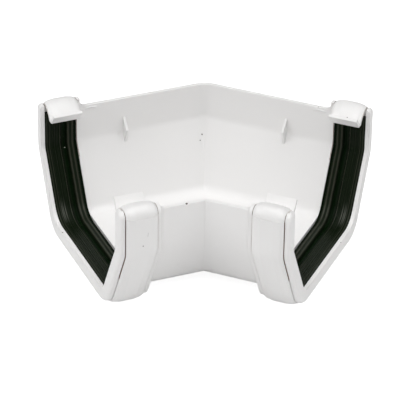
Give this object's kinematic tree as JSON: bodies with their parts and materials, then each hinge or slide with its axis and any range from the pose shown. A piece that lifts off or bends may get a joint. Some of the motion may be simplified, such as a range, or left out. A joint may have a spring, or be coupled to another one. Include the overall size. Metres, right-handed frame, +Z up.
{
  "type": "gutter angle",
  "caption": "White plastic gutter angle: a bent open trough with a rubber-sealed, strap-clipped socket at each end.",
  "frame": {"origin": "centre of the whole part's bounding box in X and Y, on the lowest points of the two straps", "axes": "+X across the mouth of the bend from the left socket to the right socket, +Y towards the rear wall at the outside of the bend, +Z up out of the open trough"},
  "size_m": [0.1872, 0.1532, 0.0747],
  "materials": {
    "white_pvc": "glossy injection-moulded surface",
    "black_rubber": "satin extruded rubber"
  },
  "bodies": {
    "root": {"body": "white_pvc", "strap_left": "white_pvc", "strap_right": "white_pvc", "seal_left": "black_rubber", "seal_right": "black_rubber"}
  },
  "joints": []
}
